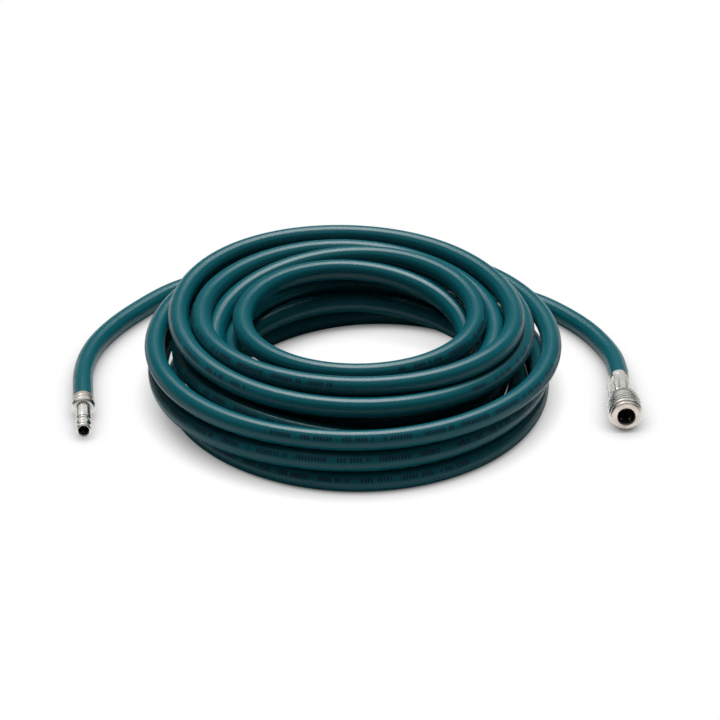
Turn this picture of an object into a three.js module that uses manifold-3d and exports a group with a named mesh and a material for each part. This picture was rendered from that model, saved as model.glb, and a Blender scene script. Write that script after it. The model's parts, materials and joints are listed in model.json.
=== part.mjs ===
// Coiled air hose with a plug on one end and a quick coupler on the other.
// Units are millimetres and +Z is up. The hose lies on the plane z = 0. +X is to the right,
// both fittings point towards -Y, and the origin is the bottom centre of the whole object.
import * as THREE from 'three';
import { mergeVertices } from 'three/addons/utils/BufferGeometryUtils.js';
import Module from 'manifold-3d';

const wasm = await Module();
wasm.setup();

// ---- driving dimensions -------------------------------------------------------------------

const GAP = 0.3;                       // kept between pieces that touch
const ROUND = 24;                      // sides of a turned piece
const degrees = Math.PI / 180;

// The hose and the room that its coil fills
const HOSE_R = 8;
const HOSE_BORE_R = 5.9;               // where the hose is stretched over a barbed stem
const HOSE_SIDES = 12;
const TAIL_STEPS = 24;
const COIL_CENTRE = new THREE.Vector2(-2, -9);
const COIL_OUTER_R = 166;
const COIL_INNER_R = 78;
const COIL_HEIGHT = 77;
const COIL_ROUND = 64;

// The plug: lengths run from where its hose is straight towards its nose
const PLUG = {
  x: -214, y: -23.3, yaw: 2.3, pitch: 0,
  hoseDepth: 18.2, ferruleFrom: 12.6, ferruleTo: 20, ferruleR: 8.8,
  collarFrom: 20.3, collarTo: 24.5, collarR: 9.65,
  boreR: 4, mouthR: 4.5, stemR: 4.9, barbR: 5.5,
  barrelR: 6.2, noseR: 5.9, length: 61.5,
};

// The coupler: lengths run from the hose side of its nut towards its mouth
const COUPLER = {
  x: 207.7, y: -5.6, yaw: 3, pitch: 3,
  hoseDepth: 19.7, boreR: 3.5, stemR: 4.9, barbR: 5.5,
  nutRingR: 8.9, nutRingTo: 6, nutNeckR: 8.75, hexFrom: 9.5, hexTo: 36, hexAcrossFlats: 20,
  socketFrom: 39.4, socketR: 9, flangeFrom: 62.8, flangeR: 12.1, length: 66,
  socketBoreR: 6.4, mouthR: 7.3,
  seatFrom: 47.6, seatTo: 49.4, seatR: 4.3,
  sleeveFrom: 41.2, sleeveTo: 62.5, sleeveR: 13.4, sleeveBoreR: 11.7, sleeveLandR: 9.3,
  springFrom: 43.2, springTo: 53.8,
  ballAt: 57.6, ballR: 1.75, ballCount: 6, ballRingR: 7.15, ballHoleR: 2.05,
};

// The hose's uncoiled stretches on the floor, from the fitting to the side of the coil
const PLUG_TAIL = [
  [-214.8, 2, 9.2], [-214.4, 14, 8.4], [-211.8, 35, 8], [-205.8, 57, 8], [-197, 77, 8],
  [-186.4, 95.5, 8], [-174.8, 112, 8], [-162.8, 127.5, 8], [-150, 141.5, 8], [-135.8, 153, 8],
  [-119, 161.5, 8], [-100, 167, 8], [-79, 169, 8], [-55, 167, 8], [-30, 160.5, 8],
];
const COUPLER_TAIL = [
  [206.2, 16, 10], [204.3, 31, 8.9], [200.3, 46, 8.2], [194.4, 61, 8], [187, 76, 8],
  [178, 90, 8], [167, 104, 8], [154.5, 117.5, 8], [140, 129.5, 8], [123, 139.5, 8.2],
  [104, 147, 9.5], [82, 151, 12.5], [58, 150.5, 17],
];

// ---- materials ----------------------------------------------------------------------------

function finish(color, roughness, metalness) {
  return new THREE.MeshStandardMaterial({ color, roughness, metalness });
}

const hoseRubber = finish(0x0c5259, 0.42, 0);
const nickel = finish(0xbdbcb0, 0.3, 1);
const warmNickel = finish(0xc9bbad, 0.34, 1);
const ferruleMetal = finish(0xb3a795, 0.38, 1);
const springSteel = finish(0x8f9294, 0.35, 1);
const ballSteel = finish(0xc4c6c8, 0.18, 1);
const sealRubber = finish(0x141415, 0.7, 0);

// ---- shaping ------------------------------------------------------------------------------

const model = new THREE.Group();

function put(name, geometry, material, parent = model) {
  const mesh = new THREE.Mesh(geometry, material);
  mesh.name = name;
  parent.add(mesh);
  return mesh;
}

// A turned piece. The outline is a list of [distance along the fitting, radius].
function turned(outline, sides = ROUND) {
  const points = outline.map(([along, radius]) => new THREE.Vector2(radius, along));
  if (outline[0][1] > 0) points.push(points[0].clone());
  return new THREE.LatheGeometry(points, sides).rotateX(Math.PI);
}

// The outline of a ring with a plain bore
function tube(from, to, innerR, outerR) {
  return [[from, innerR], [from, outerR], [to, outerR], [to, innerR]];
}

// The outline of a seal ring: an octagon round the middle of its section
function sealOutline(along, ringR, sectionR) {
  return Array.from({ length: 8 }, (_, i) => {
    const angle = (i + 0.5) * Math.PI / 4;
    return [along + sectionR * Math.sin(angle), ringR + sectionR * Math.cos(angle)];
  });
}

// Barbs along a stem: each one rises slowly and drops at once
function barbs(from, to, count, stemR, barbR) {
  const pitch = (to - from) / count;
  return Array.from({ length: count }, (_, i) => [
    [from + i * pitch, stemR], [from + (i + 0.8) * pitch, barbR], [from + (i + 0.85) * pitch, stemR],
  ]).flat();
}

function toSolid(geometry) {
  const bare = geometry.clone();
  bare.deleteAttribute('normal');
  bare.deleteAttribute('uv');
  const merged = mergeVertices(bare, 1e-4);
  return new wasm.Manifold(new wasm.Mesh({
    numProp: 3,
    vertProperties: new Float32Array(merged.attributes.position.array),
    triVerts: new Uint32Array(merged.index.array),
  }));
}

function fromSolid(solid) {
  const mesh = solid.getMesh();
  const geometry = new THREE.BufferGeometry();
  geometry.setAttribute('position', new THREE.BufferAttribute(mesh.vertProperties, 3));
  geometry.setIndex(new THREE.BufferAttribute(mesh.triVerts, 1));
  geometry.computeVertexNormals();
  return geometry;
}

// A section swept along a smooth curve through the points
function swept(points, radius, sides, steps) {
  const section = new THREE.Shape(Array.from({ length: sides }, (_, i) => {
    const angle = (i + 0.5) * 2 * Math.PI / sides;
    return new THREE.Vector2(radius * Math.cos(angle), radius * Math.sin(angle));
  }));
  const extrudePath = new THREE.CatmullRomCurve3(points, false, 'centripetal');
  return new THREE.ExtrudeGeometry(section, { steps, bevelEnabled: false, extrudePath });
}

// A compression spring whose coils run along a fitting
function spring(from, to, ringR, wireR, turns) {
  const points = Array.from({ length: turns * 12 + 1 }, (_, i) => {
    const angle = i * Math.PI / 6;
    const along = from + wireR + (to - from - 2 * wireR) * i / (turns * 12);
    return new THREE.Vector3(ringR * Math.cos(angle), -along, ringR * Math.sin(angle));
  });
  return swept(points, wireR, 6, turns * 12);
}

// A fitting's group: its own -Y is the way from the hose to its open end
function fitting(spec, height) {
  const group = new THREE.Group();
  group.position.set(spec.x, spec.y, height);
  group.rotation.set(-spec.pitch * degrees, 0, spec.yaw * degrees, 'ZXY');
  group.updateMatrix();
  model.add(group);
  return group;
}

// ---- the coil -----------------------------------------------------------------------------

// The coil's outer shape, turned about +Z. Its top is narrower than its foot.
function coilGeometry(grow) {
  const outline = [
    [COIL_OUTER_R + grow, -grow], [COIL_OUTER_R + grow, 46],
    [COIL_OUTER_R - 18 + grow, COIL_HEIGHT + grow], [COIL_INNER_R - grow, COIL_HEIGHT + grow],
    [COIL_INNER_R - grow, 60], [COIL_INNER_R + 14 - grow, 36], [COIL_INNER_R + 20 - grow, -grow],
  ].map(([radius, height]) => new THREE.Vector2(radius, height));
  return new THREE.LatheGeometry([...outline, outline[0].clone()], COIL_ROUND)
    .rotateX(Math.PI / 2)
    .translate(COIL_CENTRE.x, COIL_CENTRE.y, 0);
}

put('hose_coil', coilGeometry(0), hoseRubber);
const coilRoom = toSolid(coilGeometry(GAP));

// ---- the hose between the coil and a fitting ------------------------------------------------

// The hose runs straight out of the fitting, then through the tail's points into the coil's side.
function hoseTail(name, group, spec, tail) {
  const inFitting = [spec.hoseDepth, spec.hoseDepth / 2, 0, -12]
    .map((along) => new THREE.Vector3(0, -along, 0).applyMatrix4(group.matrix));
  const points = [...inFitting, ...tail.map((point) => new THREE.Vector3(...point))];
  const hose = toSolid(swept(points, HOSE_R, HOSE_SIDES, TAIL_STEPS));
  const bore = new THREE.CylinderGeometry(HOSE_BORE_R, HOSE_BORE_R, spec.hoseDepth, ROUND)
    .translate(0, -spec.hoseDepth / 2 - 1, 0)
    .applyMatrix4(group.matrix);
  put(name, fromSolid(hose.subtract(coilRoom).subtract(toSolid(bore))), hoseRubber);
}

// ---- the plug -----------------------------------------------------------------------------

const plug = fitting(PLUG, PLUG.collarR);

hoseTail('hose_tail_plug', plug, PLUG, PLUG_TAIL);

put('plug_ferrule', turned([
  [PLUG.ferruleFrom, HOSE_R + GAP], [PLUG.ferruleFrom, PLUG.ferruleR - 0.3],
  [PLUG.ferruleFrom + 0.6, PLUG.ferruleR], [PLUG.ferruleTo - 1.4, PLUG.ferruleR],
  [PLUG.ferruleTo, PLUG.ferruleR - 1.2], [PLUG.ferruleTo, PLUG.barbR + 0.4],
  [18.5, PLUG.barbR + 0.4],
  [18.5, HOSE_R + GAP],
]), ferruleMetal, plug);

put('plug_body', turned([
  [1.6, PLUG.boreR],
  ...barbs(1.6, 17.6, 5, PLUG.stemR, PLUG.barbR),
  [PLUG.collarFrom, PLUG.stemR], [PLUG.collarFrom, PLUG.collarR - 0.5],
  [PLUG.collarFrom + 0.6, PLUG.collarR], [PLUG.collarTo, PLUG.collarR],
  [PLUG.collarTo + 2.2, PLUG.collarR - 1.6], [PLUG.collarTo + 2.2, PLUG.barrelR],
  [45, PLUG.barrelR], [45.6, PLUG.barrelR - 0.5], [46, 5.2], [48.4, 5.2], [49, PLUG.barrelR],
  [53, PLUG.barrelR], [54.4, 5], [57.4, 5], [58.4, PLUG.noseR], [60.4, PLUG.noseR],
  [PLUG.length, PLUG.noseR - 0.8], [PLUG.length, PLUG.mouthR], [PLUG.length - 1.2, PLUG.boreR],
]), nickel, plug);

// ---- the coupler: fixed pieces --------------------------------------------------------------

// It rests on the sleeve's rear edge, with its mouth tipped up.
const couplerHeight = COUPLER.sleeveR * Math.cos(COUPLER.pitch * degrees)
  - (COUPLER.sleeveFrom + 0.6) * Math.sin(COUPLER.pitch * degrees);
const coupler = fitting(COUPLER, couplerHeight);

hoseTail('hose_tail_coupler', coupler, COUPLER, COUPLER_TAIL);

// The clamp nut: a round collar at the hose, a hexagon with a bevelled rear, and a stepped bore
function nutGeometry() {
  const cornerR = COUPLER.hexAcrossFlats / 2 / Math.cos(Math.PI / 6);
  const middle = (COUPLER.hexFrom + COUPLER.hexTo) / 2;
  const hexagon = toSolid(
    new THREE.CylinderGeometry(cornerR, cornerR, COUPLER.hexTo - COUPLER.hexFrom, 6)
      .rotateY(Math.PI / 6).translate(0, -middle, 0));
  const bevel = toSolid(turned([
    [COUPLER.hexFrom, 0], [COUPLER.hexFrom, 9.7], [COUPLER.hexFrom + 2.2, cornerR + 0.1],
    [COUPLER.hexTo - 0.8, cornerR + 0.1], [COUPLER.hexTo, cornerR - 0.8], [COUPLER.hexTo, 0],
  ]));
  const collar = toSolid(turned([
    [0, 0], [0, COUPLER.nutRingR - 0.5], [0.5, COUPLER.nutRingR],
    [COUPLER.nutRingTo, COUPLER.nutRingR], [COUPLER.nutRingTo + 0.4, COUPLER.nutNeckR],
    [COUPLER.hexFrom + 1, COUPLER.nutNeckR], [COUPLER.hexFrom + 1, 0],
  ]));
  const bore = toSolid(turned([
    [-1, 0], [-1, HOSE_R + GAP], [COUPLER.hexTo + 1, HOSE_R + GAP], [COUPLER.hexTo + 1, 0],
  ]));
  return fromSolid(hexagon.intersect(bevel).add(collar).subtract(bore));
}

put('hose_nut', nutGeometry(), nickel, coupler);

// The adapter holds the hose on its barbs, and its front end is the valve's chamber.
put('barb_adapter', turned([
  [1.6, COUPLER.boreR],
  ...barbs(1.6, 19.6, 5, COUPLER.stemR, COUPLER.barbR),
  [20, COUPLER.stemR], [20, HOSE_R], [COUPLER.hexTo + GAP, HOSE_R],
  [COUPLER.hexTo + GAP, 10.6], [39, 10.6], [39, 7.2], [47, 7.2],
  [47, 6.3], [31, 6.3], [30, COUPLER.boreR],
]), nickel, coupler);

put('adapter_seal', turned(sealOutline(40.3, 8, 0.5), 24), sealRubber, coupler);

// The socket: a thread over the adapter, the valve's seat, a bore for the plug, and a flange
function socketGeometry() {
  const body = toSolid(turned([
    [COUPLER.socketFrom, 8.8], [COUPLER.socketFrom, COUPLER.socketR],
    [41.3, COUPLER.socketR], [41.3, 8.2], [43.1, 8.2], [43.1, COUPLER.socketR],
    [COUPLER.flangeFrom, COUPLER.socketR], [COUPLER.flangeFrom, COUPLER.flangeR],
    [COUPLER.length - 1, COUPLER.flangeR], [COUPLER.length, COUPLER.flangeR - 1],
    [COUPLER.length, COUPLER.mouthR], [COUPLER.length - 1.4, COUPLER.socketBoreR],
    [53.4, COUPLER.socketBoreR], [53.4, 7.5], [50.6, 7.5], [50.6, COUPLER.socketBoreR],
    [COUPLER.seatTo, COUPLER.socketBoreR], [COUPLER.seatTo, COUPLER.seatR],
    [COUPLER.seatFrom, COUPLER.seatR + 0.9], [COUPLER.seatFrom, 7.5],
    [41, 7.5], [41, 8.8],
  ]));
  const hole = new THREE.CylinderGeometry(COUPLER.ballHoleR, COUPLER.ballHoleR, 6, 16);
  return fromSolid(ballPlaces().reduce((solid, { angle }) => solid.subtract(toSolid(
    hole.clone().rotateZ(-Math.PI / 2).translate(COUPLER.ballRingR + 0.5, -COUPLER.ballAt, 0)
      .rotateY(-angle))), body));
}

function ballPlaces() {
  return Array.from({ length: COUPLER.ballCount }, (_, i) => {
    const angle = i * 2 * Math.PI / COUPLER.ballCount;
    return { angle, x: COUPLER.ballRingR * Math.cos(angle), z: COUPLER.ballRingR * Math.sin(angle) };
  });
}

put('socket_body', socketGeometry(), warmNickel, coupler);
put('plug_seal', turned(sealOutline(52, 6.6, 0.8), 24), sealRubber, coupler);
put('stop_ring', turned(tube(41.6, 42.8, 8.5, 11.2)), springSteel, coupler);

// ---- the coupler: moving pieces --------------------------------------------------------------

// The sleeve: grip ridges outside; inside, a spring chamber, a land over the balls and a ramp
function ridges(from, count, pitch, crestR, depth) {
  return Array.from({ length: count }, (_, i) => {
    const start = from + i * pitch;
    return [[start, crestR - depth], [start + 0.5, crestR], [start + pitch - 1, crestR],
      [start + pitch - 0.5, crestR - depth]];
  }).flat();
}

put('locking_sleeve', turned([
  [COUPLER.sleeveFrom, COUPLER.sleeveBoreR], [COUPLER.sleeveFrom, COUPLER.sleeveR - 0.6],
  [COUPLER.sleeveFrom + 0.6, COUPLER.sleeveR], [49, COUPLER.sleeveR],
  ...ridges(49.4, 3, 3.2, COUPLER.sleeveR - 0.1, 0.9),
  [59.6, COUPLER.sleeveR], [61.2, COUPLER.sleeveR],
  [COUPLER.sleeveTo, 12.4], [COUPLER.sleeveTo, 10.9],
  [58.6, COUPLER.sleeveLandR], [COUPLER.springTo + 0.2, COUPLER.sleeveLandR],
  [COUPLER.springTo + 0.2, COUPLER.sleeveBoreR],
]), nickel, coupler);

put('sleeve_spring', spring(COUPLER.springFrom, COUPLER.springTo, 10.25, 0.55, 4), springSteel, coupler);

// The poppet closes the seat from behind; its nose is what the plug pushes back.
put('valve_poppet', turned([
  [36.4, 0], [36.4, 2], [43.4, 2], [43.4, 4.9], [45, 5.2], [46.6, 5.2], [46.6, 3.4],
  [51, 3], [51, 0],
], 24), nickel, coupler);
put('valve_seal', turned(sealOutline(47, 4.1, 0.34), 24), sealRubber, coupler);
put('valve_spring', spring(30.9, 43.1, 3.9, 0.45, 6), springSteel, coupler);

ballPlaces().forEach(({ x, z }, i) => {
  const ball = put(`ball_${i + 1}`, new THREE.SphereGeometry(COUPLER.ballR, 12, 8), ballSteel, coupler);
  ball.position.set(x, -COUPLER.ballAt, z);
});

export default model;
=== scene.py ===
"""Coiled air hose with a plug on one end and a quick coupler on the other.

Lengths are metres in the frame's axes: +Z is up, the hose lies on z = 0 and both fittings
point towards -Y. Outlines of turned pieces are in millimetres along and across their fitting.
"""

import json
import math

import bmesh
import bpy
import numpy as np
from mathutils import Matrix, Vector

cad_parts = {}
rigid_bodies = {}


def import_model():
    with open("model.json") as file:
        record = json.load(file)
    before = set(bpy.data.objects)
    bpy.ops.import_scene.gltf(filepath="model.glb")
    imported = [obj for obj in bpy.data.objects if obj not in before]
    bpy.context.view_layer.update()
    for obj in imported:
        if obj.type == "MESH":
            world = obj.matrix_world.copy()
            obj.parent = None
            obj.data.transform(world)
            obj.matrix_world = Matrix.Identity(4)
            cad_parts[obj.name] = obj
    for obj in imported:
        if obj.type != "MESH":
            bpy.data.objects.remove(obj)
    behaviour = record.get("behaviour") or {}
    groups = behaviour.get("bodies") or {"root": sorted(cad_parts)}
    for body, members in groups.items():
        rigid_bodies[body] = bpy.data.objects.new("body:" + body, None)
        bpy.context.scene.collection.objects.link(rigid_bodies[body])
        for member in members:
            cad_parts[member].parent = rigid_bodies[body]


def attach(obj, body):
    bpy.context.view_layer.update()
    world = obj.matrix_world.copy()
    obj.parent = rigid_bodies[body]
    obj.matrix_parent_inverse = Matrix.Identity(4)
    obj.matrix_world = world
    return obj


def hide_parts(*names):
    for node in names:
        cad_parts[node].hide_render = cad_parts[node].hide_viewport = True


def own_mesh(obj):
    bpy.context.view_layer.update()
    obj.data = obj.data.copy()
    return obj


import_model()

# What a new Blender file starts with
for leftover in ("Cube", "Light", "Camera"):
    if leftover in bpy.data.objects:
        bpy.data.objects.remove(bpy.data.objects[leftover])
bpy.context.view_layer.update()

MM = 0.001
HOSE_D = 0.016
COIL_CENTRE = Vector((-0.002, -0.009, 0))

# ---- camera ---------------------------------------------------------------------------------

CAMERA_ELEVATION = math.radians(29)
CAMERA_DISTANCE = 6.0
CAMERA_CLIP_END = 50
SENSOR = 36.0
VIEW_WIDTH = 0.567            # seen from side to side at the coil's middle
COIL_LEFT_OF_MIDDLE = 0.0055
COIL_BELOW_MIDDLE = 0.0268


def add_camera():
    """A long lens, far away, that looks along +Y and down on the coil."""
    right = Vector((1, 0, 0))
    up = Vector((0, math.sin(CAMERA_ELEVATION), math.cos(CAMERA_ELEVATION)))
    back = right.cross(up)
    data = bpy.data.cameras.new("camera")
    data.sensor_width = SENSOR
    data.lens = SENSOR * CAMERA_DISTANCE / VIEW_WIDTH
    data.clip_end = CAMERA_CLIP_END
    camera = bpy.data.objects.new("camera", data)
    aim = COIL_CENTRE + right * COIL_LEFT_OF_MIDDLE + up * COIL_BELOW_MIDDLE
    camera.matrix_world = Matrix.Translation(aim + back * CAMERA_DISTANCE) @ Matrix(
        (right, up, back)).transposed().to_4x4()
    bpy.context.scene.collection.objects.link(camera)
    bpy.context.scene.camera = camera


add_camera()

# ---- where the fittings are -----------------------------------------------------------------


def fitting_place(x, y, z, yaw, pitch):
    """A fitting's matrix. Its own -Y is the way from the hose to its open end."""
    sideways = Matrix.Rotation(math.radians(yaw), 4, "Z")
    upwards = Matrix.Rotation(-math.radians(pitch), 4, "X")
    return Matrix.Translation((x, y, z)) @ (sideways @ upwards)


PLUG = fitting_place(-0.214, -0.0233, 0.00965, yaw=2.3, pitch=0)
COUPLER = fitting_place(0.2077, -0.0056, 0.011194, yaw=3, pitch=3)
PLUG_HOSE_DEPTH = 18.2        # mm of hose inside the fitting
COUPLER_HOSE_DEPTH = 19.7


def along(place, distance):
    """The point on a fitting's axis at a distance in mm from its hose end."""
    return place @ Vector((0, -distance * MM, 0))


# ---- the hose's route -----------------------------------------------------------------------

# The uncoiled stretches on the floor, from each fitting to the side of the coil
PLUG_TAIL = [
    (-0.2148, 0.002, 0.0092), (-0.2144, 0.014, 0.0084), (-0.2118, 0.035, 0.008),
    (-0.2058, 0.057, 0.008), (-0.197, 0.077, 0.008), (-0.1864, 0.0955, 0.008),
    (-0.1748, 0.112, 0.008), (-0.1628, 0.1275, 0.008), (-0.15, 0.1415, 0.008),
    (-0.1358, 0.153, 0.008), (-0.119, 0.1615, 0.008), (-0.1, 0.167, 0.008),
    (-0.079, 0.169, 0.008), (-0.055, 0.167, 0.008), (-0.03, 0.1605, 0.008),
]
COUPLER_TAIL = [
    (0.2062, 0.016, 0.01), (0.2043, 0.031, 0.0089), (0.2003, 0.046, 0.0082),
    (0.1944, 0.061, 0.008), (0.187, 0.076, 0.008), (0.178, 0.09, 0.008),
    (0.167, 0.104, 0.008), (0.1545, 0.1175, 0.008), (0.14, 0.1295, 0.008),
    (0.123, 0.1395, 0.0082), (0.104, 0.147, 0.0095), (0.082, 0.151, 0.0125),
    (0.058, 0.1505, 0.017),
]
STRAIGHT = 12.0               # mm that the hose runs straight out of a fitting

# How the coil is wound, clockwise seen from above: (turns wound, radius, height), both in hose
# diameters. A turn is counted from the left; .25 is the back, .5 the right and .75 the front.
WINDING = [
    (0.375, 9.7, 0.5), (0.5, 9.1, 0.5), (0.62, 9.3, 0.5), (0.75, 9.52, 0.5),
    (0.87, 9.05, 0.5),
    (1, 8.75, 0.5), (1.25, 9.3, 0.55), (1.5, 9.2, 1.5), (1.75, 9.3, 1.47),
    (2, 9.6, 1.45), (2.25, 9.8, 2.6), (2.5, 9.75, 2.62), (2.75, 9.02, 2.42),
    (3, 9.75, 2.65), (3.125, 9.75, 3), (3.25, 9.45, 3.5), (3.375, 8.9, 3.35),
    (3.5, 8.42, 3.3), (3.75, 7.55, 3.45),
    (4, 8.52, 3.85), (4.07, 8.95, 4.05), (4.125, 9.1, 4.2), (4.17, 8.95, 4.3),
    (4.25, 8.45, 4.3), (4.33, 8, 4.25), (4.4, 7.75, 4.15), (4.5, 8.02, 4.15),
    (4.625, 7.4, 4.1), (4.75, 6.45, 4.05), (4.875, 6.8, 4),
    (5, 7.45, 4), (5.25, 7.45, 4.12), (5.5, 7, 3.5), (5.75, 6.75, 2.85),
    (6, 6.75, 3.2), (6.25, 6.5, 4.25), (6.5, 6.13, 4.15), (6.75, 5.25, 4.05),
    (7, 5.5, 4.05), (7.25, 5.55, 4.05), (7.5, 5.65, 3.1), (7.75, 5.7, 3.05),
    (8, 6.1, 2.7), (8.25, 6.6, 2.5), (8.5, 6.9, 2.25), (8.62, 6.75, 2.2),
    (8.75, 6.05, 2),
    (9, 6.4, 1.6), (9.25, 5.75, 2.2), (9.38, 6.4, 1.65), (9.5, 7.3, 1.2),
    (9.62, 6.9, 1.15), (9.75, 6.2, 1),
    (10, 6.6, 0.5), (10.1, 6.45, 0.5), (10.25, 7, 0.6), (10.4, 8.2, 0.55),
    (10.5, 8.1, 0.6), (10.62, 8.1, 1.2), (10.75, 8.05, 2.1),
    (11, 8.42, 2.45), (11.125, 8.8, 2.1), (11.25, 9.5, 1.5),
]
POINTS_PER_TURN = 16


def spline(knots, values, at):
    """A natural cubic curve through values at the knots, read off at other places."""
    x, y = np.asarray(knots, float), np.asarray(values, float)
    n, gaps = len(x), np.diff(x)
    system, slopes = np.eye(n), np.zeros_like(y)
    for i in range(1, n - 1):
        system[i, i - 1:i + 2] = gaps[i - 1], 2 * (gaps[i - 1] + gaps[i]), gaps[i]
        slopes[i] = 6 * ((y[i + 1] - y[i]) / gaps[i] - (y[i] - y[i - 1]) / gaps[i - 1])
    bend = np.linalg.solve(system, slopes)
    k = np.clip(np.searchsorted(x, at, side="right") - 1, 0, n - 2)
    gap, t = gaps[k][:, None], (at - x[k])[:, None]
    rest = gap - t
    return ((bend[k] * rest**3 + bend[k + 1] * t**3) / (6 * gap)
            + (y[k] / gap - bend[k] * gap / 6) * rest
            + (y[k + 1] / gap - bend[k + 1] * gap / 6) * t)


def distances(line):
    """How far along a line each of its points is."""
    return np.concatenate([[0], np.cumsum(np.linalg.norm(np.diff(line, axis=0), axis=1))])


def evenly(line, step):
    """The same line with its points a step apart."""
    far = distances(line)
    return spline(far, line, np.linspace(0, far[-1], int(round(far[-1] / step)) + 1))


def coil_points():
    """The coil's centreline, each turn worked out from its places in WINDING."""
    wound = np.array(WINDING)
    first, last = wound[0, 0], wound[-1, 0]
    turns = np.linspace(first, last, int(round((last - first) * POINTS_PER_TURN)) + 1)
    radius, height = spline(wound[:, 0], wound[:, 1:], turns).T * HOSE_D
    angle = math.pi - 2 * math.pi * turns
    return np.stack([COIL_CENTRE.x + radius * np.cos(angle),
                     COIL_CENTRE.y + radius * np.sin(angle), height], -1)


def out_of(place, depth):
    """The hose's straight points in and just behind a fitting."""
    return [tuple(along(place, distance)) for distance in (depth, depth / 2, 0, -STRAIGHT)]


def planned_route():
    """The whole hose from the plug to the coupler, before its turns settle on each other."""
    head = out_of(PLUG, PLUG_HOSE_DEPTH) + PLUG_TAIL
    foot = out_of(COUPLER, COUPLER_HOSE_DEPTH) + COUPLER_TAIL
    return np.vstack([head, coil_points(), foot[::-1]])


# Settling works in hose diameters.
NODE_STEP = 0.5               # between the hose's nodes
HELD_NODES = 14               # at each end, where the hose stays as planned
EASED_NODES = 30              # beyond those, where it is let go bit by bit
NEIGHBOURS = 4                # nodes too near along the hose to count as another strand
CLEARANCE = 1.015             # between the centres of strands that touch
FLOOR_REST = 0.5              # height of the centre of hose that lies on the floor
SEARCH = 1.35                 # how near nodes on two strands are when they are watched
SEARCH_EVERY = 8              # rounds
SETTLING_ROUNDS = 300
CLEARING_ROUNDS = 160         # the last ones, which only part the strands
PLAN_PULL = 0.02              # share of the way back to the plan in each settling round
LATE_ROUND = 240              # from here on the pull is weaker
LATE_SHARE = 0.15
BEND_EVENING = 0.3            # share of each ripple taken out in a round
STEP_EVENING = 4              # a step's error is divided by this before it is taken out
TINY = 1e-9                   # keeps sums from dividing by nothing


def touching_pairs(nodes):
    """Pairs of nodes on different strands that are near each other."""
    apart = ((nodes[:, None] - nodes[None]) ** 2).sum(-1)
    first, second = np.where(apart < SEARCH**2)
    other_strand = (second - first > NEIGHBOURS) & (second < len(nodes) - 1)
    return first[other_strand], second[other_strand]


def part_strands(nodes, first, second):
    """Moves strands that are nearer than CLEARANCE apart, at their nearest points.

    s and t say how far along their steps the two nearest points are, from 0 to 1.
    """
    a, b = nodes[first], nodes[second]
    along_a, along_b, between = nodes[first + 1] - a, nodes[second + 1] - b, a - b
    aa, bb, ab = ((u * v).sum(1) for u, v in
                  ((along_a, along_a), (along_b, along_b), (along_a, along_b)))
    to_a, to_b = (along_a * between).sum(1), (along_b * between).sum(1)
    spread = aa * bb - ab * ab
    s = (ab * to_b - to_a * bb) / np.maximum(spread, TINY)
    s = np.where(spread > TINY, s, 0.5).clip(0, 1)
    t = ((ab * s + to_b) / bb).clip(0, 1)
    s = ((ab * t - to_a) / aa).clip(0, 1)
    gap = a + along_a * s[:, None] - b - along_b * t[:, None]
    size = np.linalg.norm(gap, axis=1) + TINY
    push = gap * (np.maximum(CLEARANCE - size, 0) / size / 2)[:, None]
    active = size < CLEARANCE
    moved, shares = np.zeros_like(nodes), np.zeros(len(nodes))
    for index, share, sign in ((first, 1 - s, 1), (first + 1, s, 1),
                               (second, 1 - t, -1), (second + 1, t, -1)):
        np.add.at(moved, index[active], sign * (push * share[:, None])[active])
        np.add.at(shares, index[active], share[active])
    nodes += moved / np.maximum(shares, 1)[:, None]


def even_out_bends(nodes, share):
    """Takes out ripples, as the hose's stiffness does."""
    k = int(round(1 / NODE_STEP))    # nodes in a diameter
    bend = np.zeros_like(nodes)
    bend[k:-k] = (nodes[2 * k:] + nodes[:-2 * k]) / 2 - nodes[k:-k]
    nodes[2 * k:-2 * k] -= share * ((bend[3 * k:-k] + bend[k:-3 * k]) / 2 - bend[2 * k:-2 * k])


def even_out_steps(nodes):
    """Keeps the nodes equally far apart."""
    step = nodes[1:] - nodes[:-1]
    size = np.linalg.norm(step, axis=1)
    correction = step * ((size - size.mean()) / size / STEP_EVENING)[:, None]
    nodes[:-1] += correction
    nodes[1:] -= correction


def settle(line):
    """Lets the planned turns lie on each other and on the floor without passing through."""
    plan = evenly(line, HOSE_D * NODE_STEP) / HOSE_D
    nodes = plan.copy()
    from_end = np.minimum(np.arange(len(plan)), np.arange(len(plan))[::-1])
    freedom = 1 - (1 - ((from_end - HELD_NODES) / EASED_NODES).clip(0, 1)) ** 3
    for step in range(SETTLING_ROUNDS + CLEARING_ROUNDS):
        if step % SEARCH_EVERY == 0:
            first, second = touching_pairs(nodes)
        clearing = max(step - SETTLING_ROUNDS, 0) / CLEARING_ROUNDS
        if not clearing:
            nodes += (plan - nodes) * PLAN_PULL * (1 if step < LATE_ROUND else LATE_SHARE)
        even_out_bends(nodes, BEND_EVENING * (1 - clearing))
        part_strands(nodes, first, second)
        part_strands(nodes, first, second)
        nodes[:, 2] = np.maximum(nodes[:, 2], FLOOR_REST)
        if not clearing:
            even_out_steps(nodes)
        nodes = plan + (nodes - plan) * freedom[:, None]
    return nodes * HOSE_D


# ---- mesh building --------------------------------------------------------------------------

SHARP_ANGLE = math.radians(30)
MERGE_DISTANCE = 1e-7


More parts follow.
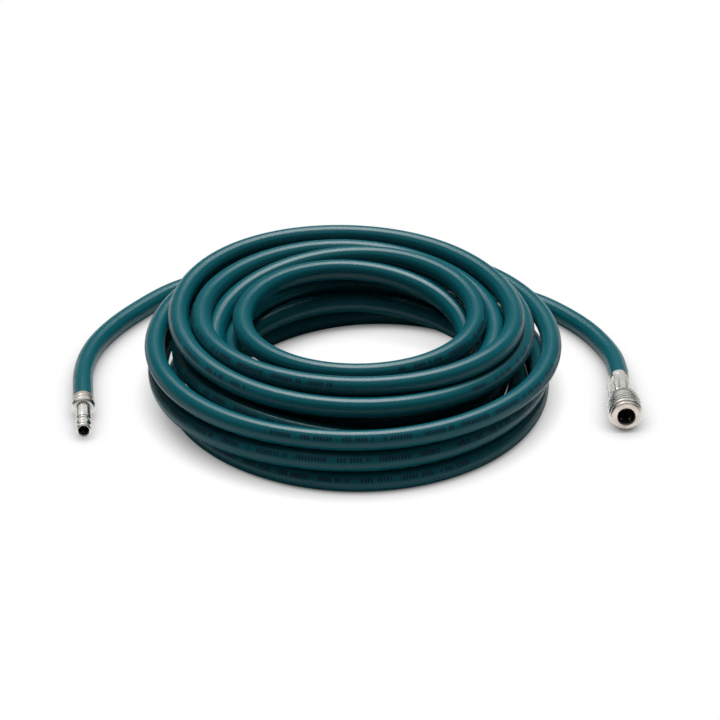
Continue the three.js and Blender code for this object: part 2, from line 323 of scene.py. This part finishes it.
def grid_object(name, rings, lengths, ring_shaped=False):
    """A closed mesh over rows of points. Its UVs are turns round and metres along.

    Rows are joined one after the other. The last joins the first in a ring-shaped piece, and
    otherwise a flat face closes each end.
    """
    rows, sides = rings.shape[:2]
    mesh = bmesh.new()
    grid = [[mesh.verts.new(point) for point in row] for row in rings]
    uv = mesh.loops.layers.uv.new("along")
    for i in range(rows if ring_shaped else rows - 1):
        upper, lower = grid[i], grid[(i + 1) % rows]
        for j in range(sides):
            k = (j + 1) % sides
            face = mesh.faces.new((upper[j], upper[k], lower[k], lower[j]))
            ends = (lengths[i], lengths[i], lengths[i + 1], lengths[i + 1])
            for loop, turn, far in zip(face.loops, (j, j + 1, j + 1, j), ends):
                loop[uv].uv = (turn / sides, far)
    if not ring_shaped:
        for row, far in ((grid[0], lengths[0]), (grid[-1], lengths[-1])):
            for loop in mesh.faces.new(row).loops:
                loop[uv].uv = (0, far)
    bmesh.ops.remove_doubles(mesh, verts=mesh.verts, dist=MERGE_DISTANCE)
    bmesh.ops.recalc_face_normals(mesh, faces=mesh.faces)
    data = bpy.data.meshes.new(name)
    mesh.to_mesh(data)
    mesh.free()
    data.polygons.foreach_set("use_smooth", np.ones(len(data.polygons), bool))
    data.set_sharp_from_angle(angle=SHARP_ANGLE)
    piece = bpy.data.objects.new(name, data)
    bpy.context.scene.collection.objects.link(piece)
    return piece


def ring_rows(centres, across, up, radii, sides):
    """Rows of points round a line of centres."""
    angle = np.linspace(0, 2 * math.pi, sides, endpoint=False)[None, :, None]
    radii = np.broadcast_to(np.asarray(radii, float), len(centres))[:, None, None]
    out = np.cos(angle) * across[:, None] + np.sin(angle) * up[:, None]
    return centres[:, None] + radii * out


def dress(piece, body, slot, material, *nodes):
    """Puts a piece on its body, with its finish, in place of its CAD nodes."""
    piece.data.materials.append(material)
    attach(piece, body)
    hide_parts(*nodes)
    return piece


# ---- shader nodes ---------------------------------------------------------------------------


class Shader:
    """A material's node tree, with short ways to add and join nodes."""

    def __init__(self, name, **settings):
        self.material = bpy.data.materials.new(name)
        self.material.use_nodes = True
        self.tree = self.material.node_tree
        self.surface = self.tree.nodes["Principled BSDF"]
        for socket, value in settings.items():
            self.surface.inputs[socket.replace("_", " ")].default_value = value

    def put(self, value, socket):
        if isinstance(value, bpy.types.NodeSocket):
            self.tree.links.new(value, socket)
        else:
            socket.default_value = value

    def node(self, kind, inputs=(), **settings):
        made = self.tree.nodes.new(kind)
        for key, value in settings.items():
            setattr(made, key, value)
        for key, value in dict(inputs).items():
            self.put(value, made.inputs[key])
        return made

    def math(self, operation, a, b=0.0, c=0.0):
        return self.node("ShaderNodeMath", {0: a, 1: b, 2: c}, operation=operation).outputs[0]

    def ramp(self, value, low, high, to_low=0.0, to_high=1.0):
        inputs = {"Value": value, "From Min": low, "From Max": high,
                  "To Min": to_low, "To Max": to_high}
        return self.node("ShaderNodeMapRange", inputs).outputs["Result"]

    def mix(self, share, a, b):
        made = self.node("ShaderNodeMix", data_type="RGBA")
        for socket, value in ((0, share), (6, a), (7, b)):
            self.put(value, made.inputs[socket])
        return made.outputs[2]

    def round_and_along(self):
        """Turns round the piece and metres along it."""
        uv = self.node("ShaderNodeUVMap", uv_map="along").outputs["UV"]
        parts = self.node("ShaderNodeSeparateXYZ", {"Vector": uv})
        return parts.outputs["X"], parts.outputs["Y"]

    def place(self):
        return self.node("ShaderNodeTexCoord").outputs["Object"]

    def noise(self, vector, scale, detail=3.0, roughness=0.5):
        inputs = {"Vector": vector, "Scale": scale, "Detail": detail, "Roughness": roughness}
        return self.node("ShaderNodeTexNoise", inputs).outputs["Fac"]

    def stretched(self, turn, per_turn, far, per_metre):
        """Noise coordinates on the surface, at different scales round and along it."""
        inputs = {"X": self.math("MULTIPLY", turn, per_turn),
                  "Y": self.math("MULTIPLY", far, per_metre)}
        return self.node("ShaderNodeCombineXYZ", inputs).outputs["Vector"]

    def bump(self, height, distance, under=None):
        inputs = {"Height": height, "Distance": distance}
        if under is not None:
            inputs["Normal"] = under
        return self.node("ShaderNodeBump", inputs).outputs["Normal"]

    def finish(self, **sockets):
        for socket, value in sockets.items():
            self.put(value, self.surface.inputs[socket.replace("_", " ")])
        return self.material


# ---- the hose -------------------------------------------------------------------------------

HOSE_RING_STEP = 0.004
HOSE_SIDES = 28
HOSE_BORE_R = 0.0059          # where the hose is stretched over a barbed stem
HOSE_BORE_DEPTH = 0.024

BRAID_TURNS = 7               # the braid's threads show through the cover as small bumps
BRAID_PITCH = 0.0038
BRAID_BUMP = 0.00006
FINE_BUMP = 0.00001
PRINT_AT = 0.095              # turns up from the outer side
PRINT_HALF_WIDTH = 0.04       # turns
PRINT_SHORTEST = 0.8          # the lowest mark's height, to the highest's
PRINT_REPEAT, PRINT_LENGTH = 0.74, 0.56
PRINT_GROUP, PRINT_GROUP_SHARE = 0.031, 0.8
PRINT_MARK, PRINT_MARK_SHARE = 0.0024, 0.66
PRINT_BLANKS = 0.12           # share of the marks that are left out
PRINT_COVER = 0.92
INK = (0.007, 0.011, 0.022, 1)
COVER_DARK = (0.0, 0.066, 0.083, 1)
COVER_LIGHT = (0.001, 0.082, 0.102, 1)
SCUFFED = (0.03, 0.12, 0.14, 1)


def hose_rubber():
    """Glossy teal cover with its braid showing through, worn print and faint scuffs."""
    s = Shader("hose_rubber", Specular_IOR_Level=0.24)
    turn, far = s.round_and_along()
    place = s.place()

    def thread(sign):
        run = s.math("MULTIPLY", far, sign / BRAID_PITCH)
        phase = s.math("MULTIPLY_ADD", turn, BRAID_TURNS, run)
        return s.math("SINE", s.math("MULTIPLY", phase, 2 * math.pi))

    def pulse(pitch, share):
        return s.math("LESS_THAN", s.math("FRACT", s.math("DIVIDE", far, pitch)), share)

    # Rows of plain ink bars in groups, as a line of print along the hose
    off_line = s.math("ABSOLUTE", s.math("SUBTRACT", turn, PRINT_AT))
    cell = s.math("FLOOR", s.math("DIVIDE", far, PRINT_MARK))
    chance = s.node("ShaderNodeTexWhiteNoise", {"W": cell}, noise_dimensions="1D")
    chance = chance.outputs["Value"]
    height = s.ramp(chance, 0, 1, PRINT_SHORTEST * PRINT_HALF_WIDTH, PRINT_HALF_WIDTH)
    ink = s.math("LESS_THAN", off_line, height)
    for gate in (pulse(PRINT_MARK, PRINT_MARK_SHARE), pulse(PRINT_GROUP, PRINT_GROUP_SHARE),
                 pulse(PRINT_REPEAT, PRINT_LENGTH / PRINT_REPEAT),
                 s.math("GREATER_THAN", chance, PRINT_BLANKS)):
        ink = s.math("MULTIPLY", ink, gate)
    worn = s.ramp(s.noise(place, 900, 2), 0.26, 0.42)
    ink = s.math("MULTIPLY", s.math("MULTIPLY", ink, worn), PRINT_COVER)

    cloud = s.noise(place, 14, 4)
    colour = s.mix(cloud, COVER_DARK, COVER_LIGHT)
    scuffs = s.noise(s.stretched(turn, 9, far, 30), 4, 5, 0.65)
    scuffed = s.ramp(scuffs, 0.6, 0.78, 0, 0.25)
    colour = s.mix(scuffed, colour, SCUFFED)
    colour = s.mix(ink, colour, INK)
    rough = s.math("ADD", s.ramp(cloud, 0.3, 0.7, 0.27, 0.33), s.math("MULTIPLY", scuffed, 0.4))
    braid = s.math("MULTIPLY", thread(1), thread(-1))
    fine = s.bump(s.noise(place, 1600, 2), FINE_BUMP)
    return s.finish(Base_Color=colour, Roughness=rough, Normal=s.bump(braid, BRAID_BUMP, fine))


def hose_frames(centres):
    """Directions across and up from each point of a line that is never upright."""
    tangent = np.gradient(centres, axis=0)
    tangent /= np.linalg.norm(tangent, axis=1)[:, None]
    across = np.cross((0, 0, 1), tangent)
    across /= np.linalg.norm(across, axis=1)[:, None]
    return across, np.cross(tangent, across)


def build_hose():
    """The whole hose along its settled route, its bore open a little way at both ends."""
    centres = evenly(settle(planned_route()), HOSE_RING_STEP)
    lengths = distances(centres)
    across, up = hose_frames(centres)
    bore = int(round(HOSE_BORE_DEPTH / HOSE_RING_STEP))
    order = np.concatenate([np.arange(bore, -1, -1), np.arange(len(centres)),
                            np.arange(len(centres) - 1, len(centres) - bore - 2, -1)])
    radii = np.full(len(order), HOSE_D / 2)
    radii[:bore + 1] = radii[-bore - 1:] = HOSE_BORE_R
    rings = ring_rows(centres[order], across[order], up[order], radii, HOSE_SIDES)
    hose = grid_object("hose", rings, lengths[order])
    dress(hose, "hose", "hose", hose_rubber(),
          "hose_coil", "hose_tail_plug", "hose_tail_coupler")
    return hose, centres, lengths[-1]


hose, hose_path, hose_length = build_hose()

# ---- metal and rubber of the fittings -------------------------------------------------------

STAIN_TONE = 0.78             # of the metal's own colour
GROOVE_DEPTH = 0.000004
POLISHED_DEPTH = 0.000001


def turned_metal(name, colour, roughness, groove=GROOVE_DEPTH):
    """Plated metal with the fine grooves that turning leaves, faint stains and small scratches."""
    s = Shader(name, Metallic=1.0)
    turn, far = s.round_and_along()
    place = s.place()
    grooves = s.noise(s.stretched(turn, 3, far, 9000), 1, 2, 0.6)
    stain = s.noise(place, 160, 4, 0.6)
    darker = tuple(c * STAIN_TONE for c in colour) + (1,)
    tone = s.mix(s.ramp(stain, 0.35, 0.7), tuple(colour) + (1,), darker)
    scratch = s.ramp(s.noise(s.stretched(turn, 60, far, 900), 3, 3), 0.62, 0.75)
    rough = s.math("ADD", s.ramp(stain, 0.3, 0.7, roughness - 0.05, roughness + 0.07),
                   s.math("MULTIPLY", scratch, 0.12))
    return s.finish(Base_Color=tone, Roughness=rough, Normal=s.bump(grooves, groove))


def seal_rubber():
    """Matt black rubber."""
    s = Shader("seal_rubber")
    mottle = s.noise(s.place(), 900, 3)
    tone = s.mix(mottle, (0.006, 0.006, 0.007, 1), (0.018, 0.018, 0.019, 1))
    return s.finish(Base_Color=tone, Roughness=s.ramp(mottle, 0.3, 0.7, 0.5, 0.72),
                    Normal=s.bump(mottle, 0.00002))


nickel = turned_metal("nickel", (0.78, 0.77, 0.72), 0.26)
warm_nickel = turned_metal("warm_nickel", (0.8, 0.72, 0.65), 0.32)
# Near-black nickel: painted shade for the inside of the socket's bore and mouth
bore_shade_nickel = turned_metal("bore_shade_nickel", (0.16, 0.15, 0.14), 0.45)
ferrule_metal = turned_metal("ferrule_metal", (0.66, 0.59, 0.51), 0.42)
spring_steel = turned_metal("spring_steel", (0.42, 0.43, 0.44), 0.32)
ball_steel = turned_metal("ball_steel", (0.7, 0.71, 0.72), 0.12, POLISHED_DEPTH)
rubber = seal_rubber()

# ---- turned pieces --------------------------------------------------------------------------

SIDES = 72
BALL_SIDES = 32
CHAMFER = 0.15                # mm, on every corner of an outline
MOST_OF_EDGE = 0.35           # a chamfer takes no more of an edge than this
ON_AXIS = 0.02                # mm, the radius of an outline's ends on the axis
STEM_R, BARB_R = 4.9, 5.5     # mm, of the barbed stems inside the hose
HOSE_HOLE_R = 8.02            # mm, of the holes that the hose goes into
SOCKET_R, SOCKET_BORE_R = 9, 6.4


def chamfered(outline, size):
    """The outline with each of its corners cut off a little."""
    cut = []
    for i, corner in enumerate(outline):
        here = Vector(corner)
        for other in (Vector(outline[i - 1]), Vector(outline[(i + 1) % len(outline)])):
            reach = other - here
            cut.append(tuple(here + reach * min(MOST_OF_EDGE, size / reach.length)))
    return cut


def turned(name, place, outline, chamfer=CHAMFER, sides=SIDES, flats=None):
    """A turned piece from an outline that closes on itself: [mm along, mm radius].

    flats = (from, to, across) cuts a hexagon into a stretch of it, with a flat on top.
    """
    outline = np.array(chamfered(outline, chamfer) if chamfer else outline, float)
    angle = np.linspace(0, 2 * math.pi, sides, endpoint=False)
    radii = np.repeat(outline[:, 1:2], sides, axis=1)
    if flats:
        off_flat = (angle - math.pi / 2 + math.pi / 6) % (math.pi / 3) - math.pi / 6
        hexagon = np.tile(flats[2] / 2 / np.cos(off_flat), (len(outline), 1))
        inside = (outline[:, 0] >= flats[0]) & (outline[:, 0] <= flats[1])
        radii[inside] = np.minimum(radii[inside], hexagon[inside])
    far = np.repeat(outline[:, :1], sides, axis=1)
    local = np.stack([radii * np.cos(angle), -far, radii * np.sin(angle)], -1) * MM
    turn, shift = np.array(place.to_3x3()), np.array(place.translation)
    lengths = distances(np.vstack([outline, outline[:1]]) * MM)
    return grid_object(name, local @ turn.T + shift, lengths, ring_shaped=True)


def barbs(start, end, count, stem, crest):
    """Barbs along a stem: each rises slowly and drops at once."""
    pitch = (end - start) / count
    return [point for i in range(count) for point in (
        (start + i * pitch, stem), (start + (i + 0.8) * pitch, crest),
        (start + (i + 0.86) * pitch, stem))]


def seal_outline(at, ring, section):
    """The round section of an O-ring: ring and section are its two radii."""
    steps = np.linspace(0, 2 * math.pi, 16, endpoint=False)
    return [(at + section * math.sin(a), ring + section * math.cos(a)) for a in steps]


def build_plug():
    """The crimped ferrule, and the plug with its stem, collar, locking groove and nose."""
    ferrule = turned("plug_ferrule_turned", PLUG, [
        (12.6, HOSE_HOLE_R), (12.6, 8.5), (13.2, 8.8), (17.8, 8.8), (19, 8.4), (20, 7.6), (20, 5.9),
        (18.5, 5.9), (18.5, HOSE_HOLE_R)])
    dress(ferrule, "hose", "ferrule", ferrule_metal, "plug_ferrule")
    body = turned("plug_body_turned", PLUG, [
        (1.6, 4), *barbs(1.6, 17.6, 5, STEM_R, BARB_R),
        (20.3, STEM_R), (20.3, 9.15), (20.9, 9.65), (24.5, 9.65), (26.7, 8.05), (26.7, 6.2),
        (45, 6.2), (45.6, 5.7), (46, 5.2), (48.4, 5.2), (49, 6.2),
        (53, 6.2), (54.4, 5), (57.4, 5), (58.4, 5.9), (60.4, 5.9),
        (61.5, 5.1), (61.5, 4.5), (60.3, 4)])
    return ferrule, dress(body, "hose", "nickel", nickel, "plug_body")


def hexagon_bevel(start, end, low, high, steps=6):
    """The cone that bevels the nut's rear corners, with enough points for its scalloped edge."""
    return [(start + (end - start) * i / steps, low + (high - low) * i / steps)
            for i in range(steps + 1)]


def build_coupler_body():
    """The clamp nut, the barbed adapter, the two seals and the sleeve's stop ring."""
    nut = turned("hose_nut_turned", COUPLER, [
        (0, HOSE_HOLE_R), (0, 8.4), (0.5, 8.9), (6, 8.9), (6.4, 8.75), (9.5, 8.75),
        *hexagon_bevel(9.5, 11.7, 9.7, 11.6), (35.2, 11.6), (36, 10.8), (36, 8.3), (20, 8.3),
        (19.9, HOSE_HOLE_R)], chamfer=0, flats=(9.51, 35.9, 20))
    dress(nut, "hose", "nickel", nickel, "hose_nut")
    adapter = turned("barb_adapter_turned", COUPLER, [
        (1.6, 3.5), *barbs(1.6, 19.6, 5, STEM_R, BARB_R), (20, STEM_R), (20, 8), (36.3, 8),
        (36.3, 10.6), (39, 10.6), (39, 7.2), (47, 7.2), (47, 6.3), (31, 6.3), (30, 3.5)])
    dress(adapter, "hose", "nickel", nickel, "barb_adapter")
    seal = turned("adapter_seal_ring", COUPLER, seal_outline(40.3, 8, 0.5), chamfer=0)
    dress(seal, "hose", "seal", rubber, "adapter_seal")
    seal = turned("plug_seal_ring", COUPLER, seal_outline(52, 6.6, 0.8), chamfer=0)
    dress(seal, "hose", "seal", rubber, "plug_seal")
    ring = turned("stop_ring_turned", COUPLER, [
        (41.6, 8.5), (41.6, 11.2), (42.8, 11.2), (42.8, 8.5)])
    dress(ring, "hose", "spring_steel", spring_steel, "stop_ring")


# In mm: along the fitting, and out from its axis
BALL_AT, BALL_RING, BALL_R, BALL_COUNT = 57.6, 7.15, 1.75, 6
BALL_ANGLES = [2 * math.pi * i / BALL_COUNT for i in range(BALL_COUNT)]
BALL_POLE = 0.02              # radians from a ball's poles to the ends of its outline
BALL_HOLE_R, BALL_HOLE_FROM, BALL_HOLE_TO = 2.05, 5, 10.5
# mm from the axis within which the socket's faces take the painted bore shade
BORE_SHADE_WITHIN = SOCKET_BORE_R + 0.6


def cut_away(piece, cutters):
    """Cuts the cutters out of a piece and removes them."""
    for cutter in cutters:
        hole = piece.modifiers.new("hole", "BOOLEAN")
        hole.operation, hole.solver, hole.object = "DIFFERENCE", "EXACT", cutter
    bpy.context.view_layer.update()
    whole = piece.evaluated_get(bpy.context.evaluated_depsgraph_get())
    data = bpy.data.meshes.new_from_object(whole)
    piece.modifiers.clear()
    piece.data = data
    data.set_sharp_from_angle(angle=SHARP_ANGLE)
    for cutter in cutters:
        bpy.data.objects.remove(cutter)


def build_socket():
    """The socket: a skirt over the adapter, the valve's seat, the plug's bore and the flange.

    It has a hole for each ball, and the faces of its bore and of the chamfer at its mouth are
    painted darker than its outside, as painted shade in the hole.
    """
    socket = turned("socket_body_turned", COUPLER, [
        (39.4, 8.8), (39.4, SOCKET_R), (41.3, SOCKET_R), (41.3, 8.2), (43.1, 8.2),
        (43.1, SOCKET_R), (62.8, SOCKET_R), (62.8, 12.1), (65.2, 12.1), (66, 11.4), (66, 7.3),
        (64.6, SOCKET_BORE_R), (53.4, SOCKET_BORE_R), (53.4, 7.5), (50.6, 7.5),
        (50.6, SOCKET_BORE_R), (49.4, SOCKET_BORE_R), (49.4, 4.3), (47.6, 5.2), (47.6, 7.5),
        (41, 7.5), (41, 8.8)])
    balls = COUPLER @ Matrix.Translation((0, -BALL_AT * MM, 0))
    outwards = Matrix.Rotation(math.pi / 2, 4, "Z")
    cutters = [turned("cutter", balls @ Matrix.Rotation(-angle, 4, "Y") @ outwards, [
        (BALL_HOLE_FROM, ON_AXIS), (BALL_HOLE_FROM, BALL_HOLE_R),
        (BALL_HOLE_TO, BALL_HOLE_R), (BALL_HOLE_TO, ON_AXIS)], chamfer=0, sides=BALL_SIDES)
        for angle in BALL_ANGLES]
    cut_away(socket, cutters)
    dress(socket, "hose", "warm_nickel", warm_nickel, "socket_body")
    # The bore and the chamfer at its mouth get the near-black metal, as painted shade
    socket.data.materials.append(bore_shade_nickel)
    to_fitting = COUPLER.inverted()
    for face in socket.data.polygons:
        centre = to_fitting @ face.center / MM
        face.material_index = int(math.hypot(centre.x, centre.z) < BORE_SHADE_WITHIN)


SLEEVE_R, GRIP_CREST_R, GRIP_FLOOR_R = 13.4, 13.3, 12.4      # mm


def build_sleeve():
    """The locking sleeve, with three grip ridges between its smooth ends."""
    ridges = [point for start in (49.4, 52.6, 55.8) for point in (
        (start, GRIP_FLOOR_R), (start + 0.5, GRIP_CREST_R), (start + 2.2, GRIP_CREST_R),
        (start + 2.7, GRIP_FLOOR_R))]
    sleeve = turned("locking_sleeve_turned", COUPLER, [
        (41.2, 11.7), (41.2, 12.8), (41.8, SLEEVE_R), (49, SLEEVE_R), *ridges,
        (59.6, SLEEVE_R), (61.2, SLEEVE_R), (62.5, 12.4), (62.5, 10.9), (58.6, 9.3),
        (54, 9.3), (54, 11.7)])
    dress(sleeve, "sleeve", "nickel", nickel, "locking_sleeve")


def build_valve():
    """The poppet: a guide pin, a head with its seal, and a stem that the plug pushes on."""
    poppet = turned("valve_poppet_turned", COUPLER, [
        (36.4, ON_AXIS), (36.4, 2), (43.4, 2), (43.4, 4.9), (45, 5.2), (46.6, 5.2), (46.6, 3.4),
        (50.4, 3.05), (51, 2.4), (51, ON_AXIS)])
    dress(poppet, "valve", "nickel", nickel, "valve_poppet")
    seal = turned("valve_seal_ring", COUPLER, seal_outline(47, 4.1, 0.34), chamfer=0)
    dress(seal, "valve", "seal", rubber, "valve_seal")


SPRING_STEPS = 24             # in each turn
WIRE_SIDES = 10


def build_spring(name, start, end, ring, wire, turns, node):
    """A compression spring, wound round the fitting's axis from start to end.

    ring and wire are the radii of its turns and of its wire.
    """
    steps = turns * SPRING_STEPS
    angle = np.linspace(0, 2 * math.pi * turns, steps + 1)
    far = np.linspace(start + wire, end - wire, steps + 1)
    out = np.stack([np.cos(angle), 0 * angle, np.sin(angle)], -1)
    centres = out * ring - np.array([0, 1, 0]) * far[:, None]
    turn, shift = np.array(COUPLER.to_3x3()), np.array(COUPLER.translation)
    axis = np.broadcast_to((0.0, 1.0, 0.0), out.shape)
    rings = ring_rows(centres, out, axis, wire, WIRE_SIDES) * MM @ turn.T + shift
    spring = grid_object(name, rings, distances(centres * MM))
    dress(spring, "hose", "spring_steel", spring_steel, node)
    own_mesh(spring)


def build_balls():
    """The locking balls, each on its own body."""
    steps = np.linspace(BALL_POLE, math.pi - BALL_POLE, 17)
    outline = [(-BALL_R * math.cos(a), BALL_R * math.sin(a)) for a in steps]
    for i, angle in enumerate(BALL_ANGLES):
        centre = Vector((BALL_RING * math.cos(angle), -BALL_AT, BALL_RING * math.sin(angle))) * MM
        ball = turned(f"ball_{i + 1}_round", COUPLER @ Matrix.Translation(centre), outline,
                      chamfer=0, sides=BALL_SIDES)
        dress(ball, f"ball_{i + 1}", "ball_steel", ball_steel, f"ball_{i + 1}")


plug_pieces = build_plug()
build_coupler_body()
build_socket()
build_sleeve()
build_valve()
build_spring("sleeve_spring_wire", start=43.2, end=53.8, ring=10.25, wire=0.55, turns=4,
             node="sleeve_spring")
build_spring("valve_spring_wire", start=30.9, end=43.1, ring=3.9, wire=0.45, turns=6,
             node="valve_spring")
build_balls()

# ---- floor and light ------------------------------------------------------------------------

TABLE_SIZE = 40
CARD_DROP = 0.0005            # the card lies this much under the tabletop
SHADOW_REACH = 0.027          # how near something is when it shades the tabletop
SHADOW_SAMPLES = 16
FULLY_LIT = 0.86              # share of open surroundings from which the tabletop is white
WORLD_STRENGTH = 0.1


def add_plane(name, material):
    bpy.ops.mesh.primitive_plane_add(size=TABLE_SIZE)
    plane = bpy.context.object
    plane.name = name
    plane.data.materials.append(material)
    return plane


def lit_table():
    """The white tabletop as it is seen: evenly lit, with a soft shadow where something is near."""
    s = Shader("lit_table", Base_Color=(0, 0, 0, 1), Roughness=1.0, Specular_IOR_Level=0.0,
               Emission_Color=(1, 1, 1, 1))
    openness = s.node("ShaderNodeAmbientOcclusion", {"Distance": SHADOW_REACH},
                      samples=SHADOW_SAMPLES)
    return s.finish(Emission_Strength=s.ramp(openness.outputs["AO"], 0, FULLY_LIT))


def bounce_card():
    """Matt white under the tabletop, which gives the object the light that a table would."""
    s = Shader("bounce_card", Roughness=0.7)
    mottle = s.noise(s.place(), 3, 4)
    return s.finish(Base_Color=s.mix(mottle, (0.62, 0.62, 0.62, 1), (0.65, 0.65, 0.65, 1)))


def add_floor():
    """A tabletop for the camera, and a card in the same place that lights the object."""
    table = add_plane("tabletop", lit_table())
    table.visible_diffuse = table.visible_glossy = table.visible_shadow = False
    card = add_plane("card", bounce_card())
    card.location.z = -CARD_DROP
    card.visible_camera = False


def add_softbox(name, azimuth, elevation, spread, strength, lit):
    """A round softbox, far away, that lights only the pieces in lit.

    Its directions and its size are in degrees, and azimuth 0 is behind the coil.
    """
    data = bpy.data.lights.new(name, "SUN")
    data.angle = math.radians(spread)
    data.energy = strength
    light = bpy.data.objects.new(name, data)
    turn, rise = math.radians(azimuth), math.radians(elevation)
    level = math.cos(rise)
    towards = Vector((math.sin(turn) * level, math.cos(turn) * level, math.sin(rise)))
    light.location = towards * 2
    light.rotation_mode = "QUATERNION"
    light.rotation_quaternion = (-towards).to_track_quat("-Z", "Y")
    bpy.context.scene.collection.objects.link(light)
    receivers = bpy.data.collections.new(name + "_receivers")
    light.light_linking.receiver_collection = receivers
    for piece in lit:
        receivers.objects.link(piece)


def add_lights():
    """One softbox for the hose, seals, balls and floor, and two softer ones for the metal."""
    world = bpy.data.worlds.new("studio")
    world.use_nodes = True
    background = world.node_tree.nodes["Background"]
    background.inputs["Color"].default_value = (1, 1, 1, 1)
    background.inputs["Strength"].default_value = WORLD_STRENGTH
    bpy.context.scene.world = world
    metals = (nickel, warm_nickel, ferrule_metal, spring_steel)
    metal, other = [], []
    for piece in bpy.context.scene.objects:
        if piece.type == "MESH" and not piece.hide_render:
            plated = any(slot.material in metals for slot in piece.material_slots)
            (metal if plated else other).append(piece)
    add_softbox("top_back", azimuth=0, elevation=67, spread=40, strength=5.0, lit=other)
    add_softbox("tent_top", azimuth=-20, elevation=66, spread=110, strength=1.5, lit=metal)
    add_softbox("tent_key", azimuth=-35, elevation=58, spread=22, strength=0.6, lit=metal)


add_floor()
add_lights()
bpy.context.scene.view_settings.view_transform = "Standard"
